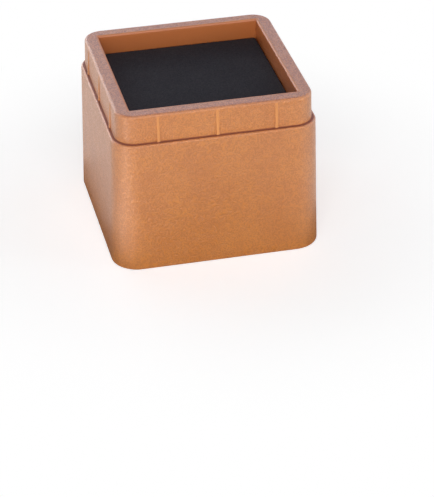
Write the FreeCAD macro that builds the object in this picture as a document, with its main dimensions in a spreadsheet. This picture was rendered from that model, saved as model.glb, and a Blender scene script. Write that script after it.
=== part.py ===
import FreeCAD, Part

import math
import os

import Sketcher

# Stackable square bed riser, in millimetres. A moulded block flares gently from its ledge to the
# floor, a stepped neck above the ledge holds a square recess for the furniture leg, and a foam pad
# lies on the recess floor. The underside is hollow, so that the neck of another riser plugs into it.
# The origin is the centre of the bottom, +Z is up, and the plan is square about +Z.

sizes = {
    # Recess for the leg, and the pad in it
    "recess_width": 75.6,
    "recess_corner": 0.5,
    "recess_depth": 12.4,
    "pad_thickness": 3.4,
    "pad_clearance": 0.3,
    # Neck, from its rim down to the ledge
    "rim_land": 6.6,
    "rim_corner": 8.6,
    "rim_outer_round": 1.3,
    "rim_inner_round": 0.8,
    "rim_thickness": 2.5,
    "neck_height": 13.5,
    "neck_flare": 0.3,
    "neck_wall": 2.3,
    "recess_wall": 2.0,
    # Skirt, from the ledge down to the floor
    "ledge_width": 1.8,
    "ledge_round": 0.95,
    "skirt_height": 62.5,
    "skirt_flare": 1.5,
    "skirt_wall": 2.5,
    "foot_round": 0.6,
    # Hollow underside
    "deck_thickness": 3.0,
    "socket_clearance": 0.1,
    "web_pitch": 30.0,
    "web_thickness": 2.0,
    "web_clearance": 0.3,
    # Friction ribs on the neck
    "rib_width": 1.6,
    "rib_proud": 0.6,
    "rib_round": 0.35,
    "rib_pitch": 26.6,
    "rib_tip_proud": 0.15,
    "rib_tip_ramp": 0.7,
    "rib_tip_drop": 0.6,
}

# How often things repeat
SIDES = 4
RIBS_PER_SIDE = 3
WEBS_PER_WAY = 2
WEB_WAYS = 2
RIGHT_ANGLE = 90

# Widths, corners and levels that follow from the sizes, as expressions on the sheet's cells.
# Each outline is an even offset of the one inside it, so the corners stay concentric.
rim_width = "dim.recess_width + 2 * dim.rim_land"
neck_width = f"{rim_width} + 2 * dim.neck_flare"
neck_corner = "dim.rim_corner + dim.neck_flare"
shoulder_width = f"{neck_width} + 2 * dim.ledge_width"
shoulder_corner = f"{neck_corner} + dim.ledge_width"
base_width = f"{shoulder_width} + 2 * dim.skirt_flare"
base_corner = f"{shoulder_corner} + dim.skirt_flare"
socket_width = f"{neck_width} + 2 * dim.rib_proud + 2 * dim.socket_clearance"
socket_corner = f"{neck_corner} + dim.rib_proud + dim.socket_clearance"
socket_end_width = f"{socket_width} - 2 * dim.neck_flare"
socket_end_corner = f"{socket_corner} - dim.neck_flare"
core_width = f"{shoulder_width} - 2 * dim.skirt_wall"
core_corner = f"{shoulder_corner} - dim.skirt_wall"
channel_outer_width = f"{rim_width} - 2 * dim.neck_wall"
channel_outer_corner = "dim.rim_corner - dim.neck_wall"
channel_inner_width = "dim.recess_width + 2 * dim.recess_wall"
channel_inner_corner = "dim.recess_corner + dim.recess_wall"
pad_width = "dim.recess_width - 2 * dim.pad_clearance"
top_level = "dim.skirt_height + dim.neck_height"
recess_floor = f"{top_level} - dim.recess_depth"
deck_underside = f"{recess_floor} - dim.deck_thickness"
channel_top = f"{top_level} - dim.rim_thickness"
web_bottom = "dim.neck_height + dim.web_clearance"

doc = FreeCAD.newDocument("BedRiser")

sheet = doc.addObject("Spreadsheet::Sheet", "dim")
for row, (alias, value) in enumerate(sizes.items(), start=1):
    sheet.set(f"A{row}", alias.replace("_", " "))
    sheet.set(f"B{row}", str(value))
    sheet.setAlias(f"B{row}", alias)
doc.recompute()


def number(expression):
    """The present value of an expression on the sheet's cells."""
    return float(sheet.evalExpression(expression))


def origin_item(body, role):
    """One of the body's own origin planes or axes, found by its role."""
    for item in body.Origin.OriginFeatures:
        if item.Role == role:
            return item
    raise RuntimeError(f"{body.Label} has no {role}")


def offset_sketch(body, name, plane, offset):
    """An empty sketch parallel to one of the body's origin planes, moved along its normal."""
    sketch = body.newObject("Sketcher::SketchObject", name)
    sketch.AttachmentSupport = (origin_item(body, plane), [""])
    sketch.MapMode = "FlatFace"
    sketch.setExpression("AttachmentOffset.Base.z", offset)
    return sketch


def relate(sketch, *relation):
    """Add a geometric constraint to a sketch."""
    sketch.addConstraint(Sketcher.Constraint(*relation))


def measure(sketch, name, expression, *dimension):
    """Add a named dimension to a sketch and tie it to an expression."""
    index = sketch.addConstraint(Sketcher.Constraint(*dimension, number(expression)))
    sketch.renameConstraint(index, name)
    sketch.setExpression(f"Constraints.{name}", expression)


def draw_polygon(sketch, points):
    """A closed outline of straight lines through the points, joined end to end."""
    followers = points[1:] + points[:1]
    lines = [sketch.addGeometry(Part.LineSegment(*ends)) for ends in zip(points, followers)]
    for line, follower in zip(lines, lines[1:] + lines[:1]):
        relate(sketch, "Coincident", line, 2, follower, 1)
    return lines


def draw_rounded_square(sketch, name, width, corner):
    """A square centred on the sketch's origin: four sides and four tangent quarter arcs."""
    upright = FreeCAD.Vector(0, 0, 1)
    half = number(width) / 2
    radius = number(corner)
    run = half - radius
    quarter = math.pi / 2
    lines = []
    arcs = []
    for side in range(SIDES):
        turn = FreeCAD.Rotation(upright, RIGHT_ANGLE * side)
        start = turn.multVec(FreeCAD.Vector(-run, -half, 0))
        end = turn.multVec(FreeCAD.Vector(run, -half, 0))
        centre = turn.multVec(FreeCAD.Vector(run, -run, 0))
        circle = Part.Circle(centre, upright, radius)
        lines.append(sketch.addGeometry(Part.LineSegment(start, end)))
        arcs.append(sketch.addGeometry(Part.ArcOfCircle(circle, quarter * (side - 1), quarter * side)))
    for line, arc, next_line in zip(lines, arcs, lines[1:] + lines[:1]):
        relate(sketch, "Tangent", line, 2, arc, 1)
        relate(sketch, "Tangent", arc, 2, next_line, 1)
    front, right, back, left = lines
    relate(sketch, "Horizontal", front)
    relate(sketch, "Horizontal", back)
    relate(sketch, "Vertical", right)
    relate(sketch, "Vertical", left)
    relate(sketch, "Equal", front, right)
    for arc in arcs[1:]:
        relate(sketch, "Equal", arcs[0], arc)
    relate(sketch, "Symmetric", arcs[0], 3, arcs[2], 3, -1, 1)
    measure(sketch, f"{name}_corner", corner, "Radius", arcs[0])
    measure(sketch, f"{name}_width", width, "DistanceX", left, 1, right, 1)


def level_square(body, name, height, width, corner):
    """A sketch with one rounded square, level at a height."""
    sketch = offset_sketch(body, name, "XY_Plane", height)
    draw_rounded_square(sketch, "outline", width, corner)
    return sketch


def loft(body, kind, name, sections):
    """A straight-sided block, added or cut, through level sections."""
    feature = body.newObject(f"PartDesign::{kind}", name)
    feature.Profile = sections[0]
    feature.Sections = sections[1:]
    feature.Ruled = True
    doc.recompute()
    return feature


def repeat(body, name, original, along, count, span, turns, angle):
    """Copies of a feature in a row, and that row turned about the upright axis."""
    pattern = body.newObject("PartDesign::MultiTransform", name)
    pattern.Originals = [original]
    row = body.newObject("PartDesign::LinearPattern", f"{name}Row")
    row.Direction = (origin_item(body, along), [""])
    row.setExpression("Length", span)
    row.Occurrences = count
    ring = body.newObject("PartDesign::PolarPattern", f"{name}Ring")
    ring.Axis = (origin_item(body, "Z_Axis"), [""])
    ring.Angle = angle
    ring.Occurrences = turns
    pattern.Transformations = [row, ring]
    body.Tip = pattern
    doc.recompute()
    return pattern


def round_level_edges(body, name, base, level, width, radius):
    """Round the square outline of a feature that lies level at a height and has a width."""
    slack = 0.01
    height = number(level)
    half = number(width) / 2
    edges = []
    for index, edge in enumerate(base.Shape.Edges, start=1):
        points = [vertex.Point for vertex in edge.Vertexes]
        rise = max(abs(point.z - height) for point in points)
        reach = max(max(abs(point.x), abs(point.y)) for point in points)
        if rise < slack and abs(reach - half) < slack:
            edges.append(f"Edge{index}")
    fillet = body.newObject("PartDesign::Fillet", name)
    fillet.Base = (base, edges)
    fillet.setExpression("Radius", radius)
    doc.recompute()
    return fillet


# Riser body: one moulding, drawn from its outside in
riser = doc.addObject("PartDesign::Body", "RiserBody")
riser.Label = "riser_body"
riser.Placement = FreeCAD.Placement()

loft(riser, "AdditiveLoft", "Skirt", [
    level_square(riser, "SkirtFoot", "0", base_width, base_corner),
    level_square(riser, "SkirtShoulder", "dim.skirt_height", shoulder_width, shoulder_corner),
])
loft(riser, "AdditiveLoft", "Neck", [
    level_square(riser, "NeckFoot", "dim.skirt_height", neck_width, neck_corner),
    level_square(riser, "NeckRim", top_level, rim_width, "dim.rim_corner"),
])

# The hollow: a socket as steep as the neck that plugs into it, then narrowing to the deck
loft(riser, "SubtractiveLoft", "Core", [
    level_square(riser, "SocketMouth", "0", socket_width, socket_corner),
    level_square(riser, "SocketEnd", "dim.neck_height", socket_end_width, socket_end_corner),
    level_square(riser, "CoreTop", deck_underside, core_width, core_corner),
])

# A channel that cores out the thick rim from below, between the recess wall and the neck wall
channel_outline = offset_sketch(riser, "ChannelOutline", "XY_Plane", deck_underside)
draw_rounded_square(channel_outline, "outer", channel_outer_width, channel_outer_corner)
draw_rounded_square(channel_outline, "inner", channel_inner_width, channel_inner_corner)
channel = riser.newObject("PartDesign::Pocket", "Channel")
channel.Profile = channel_outline
channel.Reversed = True
channel.setExpression("Length", f"{channel_top} - ({deck_underside})")
doc.recompute()

# Upright webs under the deck: each ends inside the walls and stops above a plugged-in neck.
# The right half of the outline is given by the reach and level of its corners.
web_corners = [
    ("low", f"({socket_width} + {base_width}) / 4", web_bottom),
    ("deck", f"({core_width} + {shoulder_width}) / 4", deck_underside),
    ("step", f"({rim_width} - dim.neck_wall) / 2", deck_underside),
    ("top", f"({rim_width} - dim.neck_wall) / 2", channel_top),
]
web_outline = offset_sketch(riser, "WebOutline", "XZ_Plane", "dim.web_pitch / 2")
right_half = [FreeCAD.Vector(number(reach), number(level), 0) for name, reach, level in web_corners]
left_half = [FreeCAD.Vector(-point.x, point.y, 0) for point in reversed(right_half)]
web_lines = draw_polygon(web_outline, right_half + left_half)
for (name, reach, level), line, mirror_line in zip(web_corners, web_lines, reversed(web_lines)):
    relate(web_outline, "Symmetric", line, 1, mirror_line, 1, -2)
    measure(web_outline, f"{name}_reach", reach, "DistanceX", -1, 1, line, 1)
    measure(web_outline, f"{name}_level", level, "DistanceY", -1, 1, line, 1)
web = riser.newObject("PartDesign::Pad", "Web")
web.Profile = web_outline
web.Midplane = True
web.setExpression("Length", "dim.web_thickness")
doc.recompute()
repeat(riser, "Webs", web, "Y_Axis", WEBS_PER_WAY, "dim.web_pitch", WEB_WAYS, RIGHT_ANGLE)

# The square recess that takes the leg
recess = riser.newObject("PartDesign::Pocket", "Recess")
recess.Profile = level_square(riser, "RecessOutline", top_level, "dim.recess_width", "dim.recess_corner")
recess.setExpression("Length", "dim.recess_depth")
doc.recompute()

# Rounded edges of the rim, the recess mouth, the ledge and the foot
rounded = recess
for name, level, width, radius in [
    ("RimRound", top_level, rim_width, "dim.rim_outer_round"),
    ("MouthRound", top_level, "dim.recess_width", "dim.rim_inner_round"),
    ("LedgeRound", "dim.skirt_height", shoulder_width, "dim.ledge_round"),
    ("FootRound", "0", base_width, "dim.foot_round"),
]:
    rounded = round_level_edges(riser, name, rounded, level, width, radius)


def rib_section(name, height, reach, proud):
    """Level section of the first rib: a bar with rounded outer edges, rooted inside the neck wall."""
    sketch = offset_sketch(riser, name, "XY_Plane", height)
    middle = -number("dim.rib_pitch")
    half = number("dim.rib_width / 2")
    radius = number("dim.rib_round")
    run = half - radius
    crest = -number(f"{reach} + {proud}")
    root = -number(f"{reach} - dim.neck_wall / 2")
    shoulder = crest + radius

    def place(across, along):
        return FreeCAD.Vector(middle + across, along, 0)

    def corner(across, first_angle):
        circle = Part.Circle(place(across, shoulder), FreeCAD.Vector(0, 0, 1), radius)
        return Part.ArcOfCircle(circle, first_angle, first_angle + math.pi / 2)

    left = sketch.addGeometry(Part.LineSegment(place(-half, root), place(-half, shoulder)))
    left_arc = sketch.addGeometry(corner(-run, math.pi))
    front = sketch.addGeometry(Part.LineSegment(place(-run, crest), place(run, crest)))
    right_arc = sketch.addGeometry(corner(run, 3 * math.pi / 2))
    right = sketch.addGeometry(Part.LineSegment(place(half, shoulder), place(half, root)))
    back = sketch.addGeometry(Part.LineSegment(place(half, root), place(-half, root)))
    for curve, follower in [(left, left_arc), (left_arc, front), (front, right_arc), (right_arc, right)]:
        relate(sketch, "Tangent", curve, 2, follower, 1)
    relate(sketch, "Coincident", right, 2, back, 1)
    relate(sketch, "Coincident", back, 2, left, 1)
    relate(sketch, "Vertical", left)
    relate(sketch, "Vertical", right)
    relate(sketch, "Horizontal", front)
    relate(sketch, "Horizontal", back)
    relate(sketch, "Equal", left_arc, right_arc)
    measure(sketch, "round", "dim.rib_round", "Radius", left_arc)
    measure(sketch, "width", "dim.rib_width", "DistanceX", left, 1, right, 2)
    measure(sketch, "from_middle", "dim.rib_pitch + dim.rib_width / 2", "DistanceX", left, 1, -1, 1)
    measure(sketch, "crest_reach", f"{reach} + {proud}", "DistanceY", front, 1, -1, 1)
    measure(sketch, "root_reach", f"{reach} - dim.neck_wall / 2", "DistanceY", back, 1, -1, 1)
    return sketch


# Friction ribs: they stand on the ledge, taper up the neck and dive into its wall under the rim
neck_slope = "dim.neck_flare / dim.neck_height"
ramp_drop = "(dim.rib_tip_drop + dim.rib_tip_ramp)"
foot_reach = f"({neck_width}) / 2"
ramp_reach = f"({rim_width}) / 2 + {neck_slope} * {ramp_drop}"
tip_reach = f"({rim_width}) / 2 - dim.neck_wall / 4"
rib = loft(riser, "AdditiveLoft", "Rib", [
    rib_section("RibFoot", "dim.skirt_height", foot_reach, "dim.rib_proud"),
    rib_section("RibRamp", f"{top_level} - {ramp_drop}", ramp_reach, "dim.rib_tip_proud"),
    rib_section("RibTip", f"{top_level} - dim.rib_tip_drop", tip_reach, "0"),
])
repeat(riser, "Ribs", rib, "X_Axis", RIBS_PER_SIDE, "2 * dim.rib_pitch", SIDES, SIDES * RIGHT_ANGLE)

# Leg pad: a square of foam sheet that lies on the recess floor
pad = doc.addObject("PartDesign::Body", "LegPad")
pad.Label = "leg_pad"
pad.setExpression("Placement.Base.z", recess_floor)
sheet_of_foam = pad.newObject("PartDesign::Pad", "FoamSheet")
sheet_of_foam.Profile = level_square(pad, "PadOutline", "0", pad_width, "dim.recess_corner")
sheet_of_foam.setExpression("Length", "dim.pad_thickness")
doc.recompute()

for item in doc.Objects:
    if "Invalid" in item.State or "Error" in item.State:
        raise RuntimeError(f"{item.Name} is not in order: {item.State}")
sub_parts = [riser, pad]
for sub_part in sub_parts:
    if sub_part.Shape.isNull() or not sub_part.Shape.isValid():
        raise RuntimeError(f"{sub_part.Label} has no valid shape")
os.makedirs("parts", exist_ok=True)
for sub_part in sub_parts:
    sub_part.Shape.exportStep(f"parts/{sub_part.Label}.step")
    print(sub_part.Label, sub_part.Shape.Volume, len(sub_part.Shape.Solids))
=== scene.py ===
import math

import bpy
import numpy as np
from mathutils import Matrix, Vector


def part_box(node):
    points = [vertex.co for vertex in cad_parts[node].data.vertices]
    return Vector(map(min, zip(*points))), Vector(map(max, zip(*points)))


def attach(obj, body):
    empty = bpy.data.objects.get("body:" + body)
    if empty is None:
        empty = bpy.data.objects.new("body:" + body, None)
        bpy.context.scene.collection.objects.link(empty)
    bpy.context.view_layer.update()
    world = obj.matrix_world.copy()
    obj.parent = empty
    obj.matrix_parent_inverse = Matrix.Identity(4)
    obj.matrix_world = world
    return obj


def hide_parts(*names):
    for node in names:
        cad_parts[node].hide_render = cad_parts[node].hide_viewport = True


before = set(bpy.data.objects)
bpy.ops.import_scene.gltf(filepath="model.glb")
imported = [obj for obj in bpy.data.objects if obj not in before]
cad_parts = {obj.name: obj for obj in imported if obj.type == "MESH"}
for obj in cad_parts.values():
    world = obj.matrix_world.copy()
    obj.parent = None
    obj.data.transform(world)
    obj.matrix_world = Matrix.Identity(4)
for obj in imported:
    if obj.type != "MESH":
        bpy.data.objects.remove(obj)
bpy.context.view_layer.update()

# Riser body: one injection moulding in a caramel styrene plastic. The mould's outer faces are etched
# with a fine sandy grain, and its polished core shapes the recess and the hollow underside. The grain
# also stops at the edge of the recess mouth, on the ribs' crests and on the flat of the ledge.
RIM_LEVEL = 0.076
RIM_HALF = 0.0444
RIM_ROUND = 0.0013
RECESS_HALF = 0.0378
MOUTH_ROUND = 0.0008
LEDGE_LEVEL = 0.0625
LEDGE_HALF = 0.0465
LEDGE_ROUND = 0.00095
NECK_FOOT_HALF = 0.0447
RIB_PITCH = 0.0266
RIB_HALF = 0.0008
FOOT_HALF = 0.0480
CORNER_CENTRE = 0.0358
DECK_UNDERSIDE = 0.0612
SKIN = 0.0010
EDGE_SLACK = 0.0004
RIM_BAND = RIM_ROUND / 4
LEDGE_BAND = SKIN / 4


def shade(red, green, blue):
    """A screen colour, 0 to 255 a channel, as a shader's linear values: the sRGB curve undone."""
    screen = np.array([red, green, blue]) / 255
    linear = np.where(screen <= 0.04045, screen / 12.92, ((screen + 0.055) / 1.055) ** 2.4)
    return (*linear.tolist(), 1.0)


def new_finish(name):
    """A finish to be built up node by node: its material, its node tree and its shader."""
    finish = bpy.data.materials.new(name)
    finish.use_nodes = True
    tree = finish.node_tree
    return finish, tree, tree.nodes["Principled BSDF"]


def add_node(tree, kind, inputs, **settings):
    """One node with its settings, and inputs that are values or other nodes' sockets; its outputs."""
    node = tree.nodes.new(f"ShaderNode{kind}")
    for name, value in settings.items():
        setattr(node, name, value)
    for socket, value in inputs.items():
        if isinstance(value, bpy.types.NodeSocket):
            tree.links.new(value, node.inputs[socket])
        else:
            node.inputs[socket].default_value = value
    return node.outputs


def reckon(tree, operation, *values):
    """The result of one sum on values or sockets."""
    return add_node(tree, "Math", dict(enumerate(values)), operation=operation)[0]


def product(tree, first, *others):
    """Values or sockets multiplied together."""
    for other in others:
        first = reckon(tree, "MULTIPLY", first, other)
    return first


def ramp(tree, value, start, end, low=0.0, high=1.0):
    """A smooth rise from low to high as the value goes from start to end."""
    inputs = {"Value": value, "From Min": start, "From Max": end, "To Min": low, "To Max": high}
    return add_node(tree, "MapRange", inputs, interpolation_type="SMOOTHSTEP")[0]


def between(tree, value, start, end):
    """One where the value lies from start to end, falling to nought within a slack on either side."""
    rise = ramp(tree, value, start - EDGE_SLACK, start)
    fall = ramp(tree, value, end + EDGE_SLACK, end)
    return product(tree, rise, fall)


def mixed(tree, amount, under, over):
    """One number laid over another by an amount."""
    return add_node(tree, "Mix", {0: amount, 2: under, 3: over}, data_type="FLOAT")[0]


def tint(tree, amount, under, over):
    """One colour laid over another by an amount."""
    return add_node(tree, "Mix", {0: amount, 6: under, 7: over}, data_type="RGBA")[2]


def noise(tree, place, scale, detail, roughness=0.5):
    """Clouds at a scale, with a detail of finer and finer ones on them, each weaker by the roughness."""
    inputs = {"Vector": place, "Scale": scale, "Detail": detail, "Roughness": roughness}
    return add_node(tree, "TexNoise", inputs)


grained, tree, shader = new_finish("grained_caramel")
place = add_node(tree, "TexCoord", {})["Object"]
across, along, level = add_node(tree, "SeparateXYZ", {0: place})
across = reckon(tree, "ABSOLUTE", across)
along = reckon(tree, "ABSOLUTE", along)
reach = reckon(tree, "MAXIMUM", across, along)

# The same reach measured round the corners, whose arcs all have one centre
past_x = reckon(tree, "MAXIMUM", reckon(tree, "SUBTRACT", across, CORNER_CENTRE), 0.0)
past_y = reckon(tree, "MAXIMUM", reckon(tree, "SUBTRACT", along, CORNER_CENTRE), 0.0)
arc_square = reckon(tree, "MULTIPLY_ADD", past_x, past_x, product(tree, past_y, past_y))
round_reach = reckon(tree, "ADD", reckon(tree, "SQRT", arc_square), CORNER_CENTRE)

# Where the core shaped the plastic: inside the recess mouth, and below the deck behind the skirt
above_deck = reckon(tree, "GREATER_THAN", level, DECK_UNDERSIDE)
in_recess = ramp(tree, reach, RECESS_HALF + MOUTH_ROUND, RECESS_HALF)
skirt_slope = (FOOT_HALF - LEDGE_HALF) / LEDGE_LEVEL
skirt_reach = reckon(tree, "MULTIPLY_ADD", level, -skirt_slope, FOOT_HALF - SKIN)
in_hollow = reckon(tree, "LESS_THAN", round_reach, skirt_reach)
polished = mixed(tree, above_deck, in_hollow, in_recess)
etched = reckon(tree, "SUBTRACT", 1.0, polished)

# The edge of the recess mouth, where the etching ends
beside = between(tree, reach, RECESS_HALF, RECESS_HALF + MOUTH_ROUND)
mouth_edge = product(tree, beside, between(tree, level, RIM_LEVEL - MOUTH_ROUND, RIM_LEVEL))

# The ribs' crests: three to a side, the middle one on the centre line, the others a pitch away from it
crest_half = RIB_HALF - EDGE_SLACK
aside = reckon(tree, "MINIMUM", across, along)
middle_crest = between(tree, aside, 0.0, crest_half)
outer_crests = between(tree, aside, RIB_PITCH - crest_half, RIB_PITCH + crest_half)
on_neck = between(tree, level, LEDGE_LEVEL + EDGE_SLACK, RIM_LEVEL - RIM_ROUND)
proud = reckon(tree, "GREATER_THAN", reach, RIM_HALF)
crests = product(tree, reckon(tree, "MAXIMUM", middle_crest, outer_crests), on_neck, proud)
smooth = reckon(tree, "MAXIMUM", mouth_edge, crests)
unsmooth = reckon(tree, "SUBTRACT", 1.0, smooth)

# The flat of the ledge, at the foot of the neck, whose colour gets a painted shade below
beside = between(tree, round_reach, NECK_FOOT_HALF, LEDGE_HALF - LEDGE_ROUND)
at_ledge = between(tree, level, LEDGE_LEVEL - LEDGE_BAND, LEDGE_LEVEL + LEDGE_BAND)
ledge_flat = product(tree, beside, at_ledge)

# Grain: uneven bumps under a millimetre across, thicker here and there, with fine pores over them
STRAY_NOISE = (700.0, 2.0)
STRAY_REACH = 0.0009
STRAY_MIDDLE = (0.5, 0.5, 0.5)
BUMP_NOISE = (1300.0, 2.5, 0.65)
PORE_NOISE = (3200.0, 3.0)
PORE_SHARE = 0.5
TUFT_NOISE = (480.0, 2.0)
TUFT_SHARE = 0.3
GRAIN_SPAN = (0.74, 1.06)
stray = noise(tree, place, *STRAY_NOISE)["Color"]
stray = add_node(tree, "VectorMath", {0: stray, 1: STRAY_MIDDLE}, operation="SUBTRACT")["Vector"]
stray = add_node(tree, "VectorMath", {0: stray, "Scale": STRAY_REACH}, operation="SCALE")["Vector"]
strayed = add_node(tree, "VectorMath", {0: place, 1: stray}, operation="ADD")["Vector"]
bumps = noise(tree, strayed, *BUMP_NOISE)["Fac"]
pores = noise(tree, place, *PORE_NOISE)["Fac"]
tufts = noise(tree, place, *TUFT_NOISE)["Fac"]
swell = reckon(tree, "MULTIPLY_ADD", tufts, TUFT_SHARE, bumps)
swell = reckon(tree, "MULTIPLY_ADD", pores, PORE_SHARE, swell)
grain = ramp(tree, swell, *GRAIN_SPAN)

# Colour: dyed through, with faint clouds from the flow, and deeper in the grain's valleys, most of all
# on the rim. The ribs' crests are painted paler, as a painted highlight, and the flat of the ledge is
# painted a deeper brown, as painted shade in the crease at the neck's foot.
CLOUD_NOISE = (60.0, 3.0)
CLOUD_SPAN = (0.3, 0.7)
CARAMEL = (199, 118, 31)
PALE_CARAMEL = (207, 126, 37)
CORE_CARAMEL = (180, 101, 45)
VALLEY_CARAMEL = (160, 89, 34)
CREST_PAINTED_HIGHLIGHT = (222, 155, 92)
LEDGE_PAINTED_SHADE = (118, 46, 6)
VALLEY_ON_SIDES, VALLEY_ON_RIM = 0.52, 1.0
CREST_HIGHLIGHT_AMOUNT = 0.3
LEDGE_SHADE_AMOUNT = 0.85
clouds = ramp(tree, noise(tree, place, *CLOUD_NOISE)["Fac"], *CLOUD_SPAN)
caramel = tint(tree, clouds, shade(*CARAMEL), shade(*PALE_CARAMEL))
caramel = tint(tree, polished, caramel, shade(*CORE_CARAMEL))
depth = ramp(tree, level, RIM_LEVEL - RIM_BAND, RIM_LEVEL, VALLEY_ON_SIDES, VALLEY_ON_RIM)
valley = product(tree, ramp(tree, grain, 0.0, 1.0, 1.0, 0.0), depth, etched, unsmooth)
caramel = tint(tree, valley, caramel, shade(*VALLEY_CARAMEL))
# Painted highlight: the ribs' crests are made paler, for the light that they catch
caramel = tint(tree, product(tree, crests, CREST_HIGHLIGHT_AMOUNT), caramel, shade(*CREST_PAINTED_HIGHLIGHT))
# Painted shade: the flat of the ledge is made a deep brown, for the shade in the crease at the neck's foot
caramel = tint(tree, product(tree, ledge_flat, LEDGE_SHADE_AMOUNT), caramel, shade(*LEDGE_PAINTED_SHADE))
tree.links.new(caramel, shader.inputs["Base Color"])

# Sheen and relief: the grain's valleys are duller than its tops, and where the grain is left off, only
# a trace of its relief stays
GRAIN_DULLNESS = (0.52, 0.36)
CORE_DULLNESS = 0.42
SMOOTH_DULLNESS = 0.6
LEDGE_DULLNESS = 0.8
GRAIN_DEPTH = 0.00014
CORE_RELIEF = 0.12
SMOOTH_RELIEF = 0.25
PLASTIC = {"IOR": 1.6, "Specular IOR Level": 1.0, "Coat Weight": 0.35, "Coat Roughness": 0.35}
dullness = ramp(tree, grain, 0.0, 1.0, *GRAIN_DULLNESS)
dullness = mixed(tree, polished, dullness, CORE_DULLNESS)
dullness = mixed(tree, smooth, dullness, SMOOTH_DULLNESS)
dullness = mixed(tree, ledge_flat, dullness, LEDGE_DULLNESS)
tree.links.new(dullness, shader.inputs["Roughness"])
on_etched = ramp(tree, etched, 0.0, 1.0, CORE_RELIEF, 1.0)
on_unsmooth = ramp(tree, unsmooth, 0.0, 1.0, SMOOTH_RELIEF, 1.0)
relief = product(tree, grain, on_etched, on_unsmooth)
bump = add_node(tree, "Bump", {"Height": relief, "Distance": GRAIN_DEPTH, "Strength": 1.0})["Normal"]
tree.links.new(bump, shader.inputs["Normal"])
for socket, value in PLASTIC.items():
    shader.inputs[socket].default_value = value

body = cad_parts["riser_body"]
body.material_slots[0].material = grained

# Leg pad: a square of black closed-cell foam, die-cut from sheet and stuck to the recess floor.
# The cutter drags its top edge over a little, and the sheet is faintly uneven and fine-pored.
PAD_CORNER = 0.0009
PAD_TOP_ROUND = 0.0008
PAD_FOOT_ROUND = 0.0003
PAD_SWELL = 0.00015
STEPS_ON_SIDE = 48
STEPS_ON_CORNER = 6
RINGS_ON_TOP, RINGS_ON_EDGE, RINGS_ON_FOOT = 40, 7, 4
FIRST_RING = 0.02
LONG_WAVE, LONG_PHASE = (95, 80), (0.7, -0.4)
SHORT_WAVE, SHORT_SHARE = (130, 210), 0.6
WAVE_MARGIN = 0.006
MEAN_DIP, WAVE_DIP, EDGE_DIP = 0.55, 0.3, 0.25


def square_path():
    """Once round a square, as corner-centre places and outward directions: a rounded square of half
    width h and corner c is place * (h - c) + direction * c."""
    run = np.linspace(-1, 1, STEPS_ON_SIDE, endpoint=False)
    bend = np.linspace(0, math.pi / 2, STEPS_ON_CORNER, endpoint=False)
    side_place = np.stack([run, -np.ones_like(run)], 1)
    side_way = np.tile([0.0, -1.0], (STEPS_ON_SIDE, 1))
    corner_place = np.tile([1.0, -1.0], (STEPS_ON_CORNER, 1))
    corner_way = np.stack([np.sin(bend), -np.cos(bend)], 1)
    place = np.concatenate([side_place, corner_place])
    way = np.concatenate([side_way, corner_way])
    quarter = np.array([[0, 1], [-1, 0]])
    turns = [np.linalg.matrix_power(quarter, turn) for turn in range(4)]
    return np.concatenate([place @ turn for turn in turns]), np.concatenate([way @ turn for turn in turns])


def foam_sheet(low, high):
    """Rings of one profile carried round the square path. The profile runs from the middle of the top
    to its rounded edge, down the cut side, round the foot and back to the middle underneath. The top
    dips by a mean and by a long and a short wave of sines, which die out at its margin. Points, the
    rings' grid of quads, and the first and last ring, which close the sheet."""
    half = (high.x - low.x) / 2
    fall = np.linspace(0, math.pi / 2, RINGS_ON_EDGE)
    tuck = np.linspace(0, math.pi / 2, RINGS_ON_FOOT)
    flat = np.linspace(FIRST_RING, 1, RINGS_ON_TOP, endpoint=False)
    reach = np.concatenate([
        flat * (half - PAD_TOP_ROUND),
        half - PAD_TOP_ROUND * (1 - np.sin(fall)),
        half - PAD_FOOT_ROUND * (1 - np.cos(tuck)),
        flat[::-2] * (half - PAD_FOOT_ROUND),
    ])
    height = np.concatenate([
        np.full_like(flat, high.z),
        high.z - PAD_TOP_ROUND * (1 - np.cos(fall)),
        low.z + PAD_FOOT_ROUND * (1 - np.sin(tuck)),
        np.full_like(flat[::2], low.z),
    ])
    place, way = square_path()
    corner = PAD_CORNER * reach / half
    ring = place * (reach - corner)[:, None, None] + way * corner[:, None, None]
    x, y = ring[..., 0], ring[..., 1]
    long_wave = np.sin(LONG_WAVE[0] * x + LONG_PHASE[0]) * np.cos(LONG_WAVE[1] * y + LONG_PHASE[1])
    wave = long_wave + SHORT_SHARE * np.sin(SHORT_WAVE[0] * x + SHORT_WAVE[1] * y)
    inside = np.clip((half - np.maximum(abs(x), abs(y))) / WAVE_MARGIN, 0, 1) ** 2
    dip = inside * (MEAN_DIP + WAVE_DIP * wave) + (1 - inside) * EDGE_DIP
    upper = (height > (low.z + high.z) / 2)[:, None]
    z = height[:, None] - PAD_SWELL * upper * dip
    points = np.stack([x, y, z], -1)
    rings, steps = x.shape
    index = np.arange(rings * steps).reshape(rings, steps)
    inner, outer = index[:-1], index[1:]
    quads = np.stack([inner, outer, np.roll(outer, -1, 1), np.roll(inner, -1, 1)], -1).reshape(-1, 4)
    return points.reshape(-1, 3), quads, index[0], index[-1]


pad_low, pad_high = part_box("leg_pad")
points, quads, top_ring, under_ring = foam_sheet(pad_low, pad_high)
pad_mesh = bpy.data.meshes.new("foam_pad")
faces = [*quads.tolist(), top_ring.tolist(), under_ring[::-1].tolist()]
pad_mesh.from_pydata(points.tolist(), [], faces)
pad_mesh.shade_smooth()
pad = bpy.data.objects.new("foam_pad", pad_mesh)
bpy.context.scene.collection.objects.link(pad)

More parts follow.
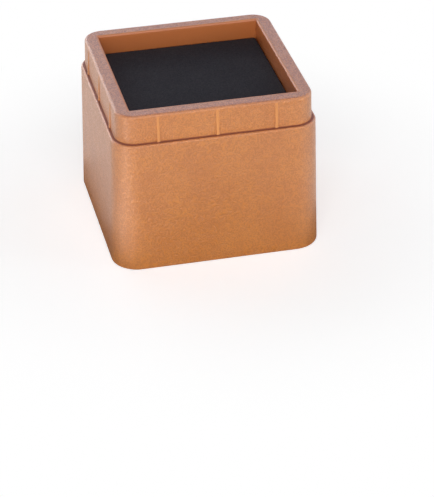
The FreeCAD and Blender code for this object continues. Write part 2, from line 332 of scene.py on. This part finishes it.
# Foam: tiny cut cells on its face, darker in their middles, with a fine nap and faint blotches
CELL_SCALE = 2600.0
CELL_SPAN = (0.1, 0.7)
CELL_TINT = 0.5
NAP_NOISE = (900.0, 4.0)
NAP_SPAN = (0.3, 0.7)
NAP_SHARE = 0.6
NAP_DULLNESS = (0.62, 0.78)
BLOTCH_NOISE = (45.0, 3.0)
BLOTCH_SPAN = (0.3, 0.7)
BLACK = (56, 57, 61)
PALE_BLACK = (61, 62, 66)
CELL_BLACK = (15, 15, 20)
PIT_DEPTH = 0.00003
PIT_STRENGTH = 0.7
FOAM_SPECULAR = 0.08
foam, tree, shader = new_finish("black_foam")
place = add_node(tree, "TexCoord", {})["Object"]
cells = add_node(tree, "TexVoronoi", {"Vector": place, "Scale": CELL_SCALE}, feature="F1")["Distance"]
nap = noise(tree, place, *NAP_NOISE)["Fac"]
blotches = ramp(tree, noise(tree, place, *BLOTCH_NOISE)["Fac"], *BLOTCH_SPAN)
black = tint(tree, blotches, shade(*BLACK), shade(*PALE_BLACK))
black = tint(tree, ramp(tree, cells, *CELL_SPAN, CELL_TINT, 0.0), black, shade(*CELL_BLACK))
tree.links.new(black, shader.inputs["Base Color"])
tree.links.new(ramp(tree, nap, *NAP_SPAN, *NAP_DULLNESS), shader.inputs["Roughness"])
pits = reckon(tree, "MULTIPLY_ADD", nap, NAP_SHARE, cells)
bump = add_node(tree, "Bump", {"Height": pits, "Distance": PIT_DEPTH, "Strength": PIT_STRENGTH})["Normal"]
tree.links.new(bump, shader.inputs["Normal"])
shader.inputs["Specular IOR Level"].default_value = FOAM_SPECULAR
pad_mesh.materials.append(foam)

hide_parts("leg_pad")
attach(pad, "root")

# Floor: a plain pale studio sweep of paper that goes on past the picture. It takes the riser's shadow,
# and away from the riser it fades to the white of the background.
FLOOR_HALF = 3.0
TOOTH_NOISE = (400.0, 2.0)
PAPER = (220, 221, 223)
PALE_PAPER = (227, 228, 230)
BOUNCED_PAPER = (118, 111, 105)
SHADED_PAPER = (70, 62, 56)
PAPER_DULLNESS = 0.9
PAPER_SPECULAR = 0.1
WHITE = (1.0, 1.0, 1.0, 1.0)


def sight(tree):
    """The kinds of ray, and one where a ray comes from the camera, a sheen or something clear."""
    ray = add_node(tree, "LightPath", {})
    seen = reckon(tree, "MAXIMUM", ray["Is Camera Ray"], ray["Is Glossy Ray"])
    return ray, reckon(tree, "MAXIMUM", seen, ray["Is Transmission Ray"])


def glow(tree, strength):
    """A white glow of a strength."""
    return add_node(tree, "Emission", {"Color": WHITE, "Strength": strength})[0]


def heading(azimuth):
    """The level way out from the middle at an azimuth in degrees, counted from the front: x and y."""
    turn = math.radians(azimuth)
    return math.sin(turn), -math.cos(turn)


floor_mesh = bpy.data.meshes.new("floor")
edge = np.linspace(-FLOOR_HALF, FLOOR_HALF, 2)
floor_x, floor_y = np.meshgrid(edge, edge)
floor_points = np.stack([floor_x, floor_y, np.zeros_like(floor_x)], -1).reshape(-1, 3)
floor_mesh.from_pydata(floor_points.tolist(), [], [(0, 1, 3, 2)])
floor = bpy.data.objects.new("floor", floor_mesh)
bpy.context.scene.collection.objects.link(floor)

paper, tree, shader = new_finish("pale_paper")
place = add_node(tree, "TexCoord", {})["Object"]
ray, seen = sight(tree)
pale = tint(tree, noise(tree, place, *TOOTH_NOISE)["Fac"], shade(*PAPER), shade(*PALE_PAPER))
pale = tint(tree, ray["Is Diffuse Ray"], pale, shade(*BOUNCED_PAPER))

# What the riser's sheen mirrors of the paper is shaded close to it: far in front, where the shade also
# spreads sideways, and little beside it
SHADE_AHEAD = (0.085, 0.16)
SHADE_BESIDE = (0.050, 0.066)
SHADE_SPREAD = 0.6
across, along, _ = add_node(tree, "SeparateXYZ", {0: place})
ahead = ramp(tree, product(tree, along, -1.0), *SHADE_AHEAD)
aside = reckon(tree, "MAXIMUM", reckon(tree, "ABSOLUTE", across), along)
spread = product(tree, reckon(tree, "MINIMUM", along, 0.0), SHADE_SPREAD)
beside = ramp(tree, reckon(tree, "ADD", aside, spread), *SHADE_BESIDE)
shaded = reckon(tree, "SUBTRACT", 1.0, reckon(tree, "MAXIMUM", ahead, beside))
mirrored = product(tree, ray["Is Glossy Ray"], shaded)
pale = tint(tree, mirrored, pale, shade(*SHADED_PAPER))
tree.links.new(pale, shader.inputs["Base Color"])
shader.inputs["Roughness"].default_value = PAPER_DULLNESS
shader.inputs["Specular IOR Level"].default_value = PAPER_SPECULAR

# The paper is lifted towards white as it is seen, and further out it is white alone
SHADOW_REACH = 0.065
FADE_REACH = 0.18
PAPER_LIFT = 0.56
lift = product(tree, reckon(tree, "SUBTRACT", seen, mirrored), PAPER_LIFT)
near = add_node(tree, "AddShader", {0: shader.outputs[0], 1: glow(tree, lift)})[0]
far = add_node(tree, "VectorMath", {0: place}, operation="LENGTH")["Value"]
away = product(tree, ramp(tree, far, SHADOW_REACH, FADE_REACH), seen)
surface = add_node(tree, "MixShader", {0: away, 1: near, 2: glow(tree, 1.0)})[0]

# Painted glow: streaks on the paper at the front, left and right, that glow in place of side lights'
# reflections, though no lamp is there; only the riser's sheen picks them up, as painted highlights on its
# front corners
GLOWING_STREAKS = [(-48.0, 2.6), (48.0, 0.8)]
STREAK_SIDE = (0.055, 0.02)
STREAK_START = (0.065, 0.095)
for azimuth, strength in GLOWING_STREAKS:
    out_x, out_y = heading(azimuth)
    course, square_on = (out_x, out_y, 0.0), (out_y, -out_x, 0.0)
    off_course = add_node(tree, "VectorMath", {0: place, 1: square_on}, operation="DOT_PRODUCT")["Value"]
    on_course = add_node(tree, "VectorMath", {0: place, 1: course}, operation="DOT_PRODUCT")["Value"]
    width = ramp(tree, reckon(tree, "ABSOLUTE", off_course), *STREAK_SIDE, high=strength)
    streak = product(tree, width, ramp(tree, on_course, *STREAK_START), ray["Is Glossy Ray"])
    surface = add_node(tree, "AddShader", {0: surface, 1: glow(tree, streak)})[0]
tree.links.new(surface, tree.nodes["Material Output"].inputs["Surface"])
floor_mesh.materials.append(paper)

# Studio light: a dim tent with a white backdrop, faintly mauve in the sheen, and soft boxes all round.
# The lower one in front is cross-polarised, so it lights the colour and leaves no gloss. The glancing
# light of those behind veils the rim and the left side.
TENT_WALL = 0.05
TENT_ROOF = 0.03
TENT_SHEEN = (0.94, 0.88, 1.1, 1.0)
LAMP_AIM = 0.04
POLARISED_BOX = "front_box"
SOFT_BOXES = [  # name, azimuth, elevation, distance, width and height, power
    ("front_box", -9.0, 10.0, 1.3, (0.9, 0.5), 8.6),
    ("front_high_box", -12.0, 32.0, 1.3, (0.9, 0.5), 4.75),
    ("left_strip", -50.0, 7.0, 1.1, (0.3, 0.30), 2.0),
    ("back_left_box", -150.0, 8.0, 1.1, (1.2, 0.8), 8.8),
    ("back_box", 167.0, 28.0, 1.3, (1.3, 0.5), 0.5),
    ("low_back_strip", 157.0, 6.0, 1.1, (0.62, 0.08), 0.12),
    ("right_strip", 62.0, 12.0, 1.1, (0.4, 0.36), 2.3),
    ("right_box", 106.0, 10.0, 1.3, (0.9, 0.6), 3.0),
]
world = bpy.data.worlds.new("tent")
bpy.context.scene.world = world
world.use_nodes = True
tree = world.node_tree
backdrop = tree.nodes["Background"]
ray, seen = sight(tree)
up = add_node(tree, "SeparateXYZ", {0: add_node(tree, "TexCoord", {})["Generated"]})[2]
strength = mixed(tree, seen, ramp(tree, up, 0.0, 1.0, TENT_WALL, TENT_ROOF), 1.0)
tree.links.new(strength, backdrop.inputs["Strength"])
tree.links.new(tint(tree, ray["Is Glossy Ray"], WHITE, TENT_SHEEN), backdrop.inputs["Color"])

for name, azimuth, elevation, distance, (width, height), power in SOFT_BOXES:
    box_light = bpy.data.lights.new(name, "AREA")
    box_light.shape = "RECTANGLE"
    box_light.size, box_light.size_y = width, height
    box_light.energy = power
    lamp = bpy.data.objects.new(name, box_light)
    out_x, out_y = heading(azimuth)
    rise = math.radians(elevation)
    level_reach = distance * math.cos(rise)
    lamp.location = (level_reach * out_x, level_reach * out_y, distance * math.sin(rise) + LAMP_AIM)
    lamp.rotation_euler = (math.pi / 2 - rise, 0, math.radians(azimuth))
    lamp.visible_glossy = name != POLARISED_BOX
    bpy.context.scene.collection.objects.link(lamp)

# Camera: a long lens a metre away, above the rim and a little to the left of the front. Its place and
# turn are fitted to the edges of the rim, the recess, the ledge and the foot.
FOCAL_LENGTH = 149.4314
SENSOR_WIDTH = 36.0
CLIP_START, CLIP_END = 0.05, 20.0
CAMERA_PLACE = (-0.17852, -0.82060, 0.49638)
CAMERA_TURN = (58.26061, 0.47269, -13.18533)
lens = bpy.data.cameras.new("camera")
lens.lens = FOCAL_LENGTH
lens.sensor_width = SENSOR_WIDTH
lens.clip_start, lens.clip_end = CLIP_START, CLIP_END
camera = bpy.data.objects.new("camera", lens)
camera.location = CAMERA_PLACE
camera.rotation_euler = [math.radians(angle) for angle in CAMERA_TURN]
bpy.context.scene.collection.objects.link(camera)
bpy.context.scene.camera = camera
bpy.context.scene.view_settings.view_transform = "Standard"
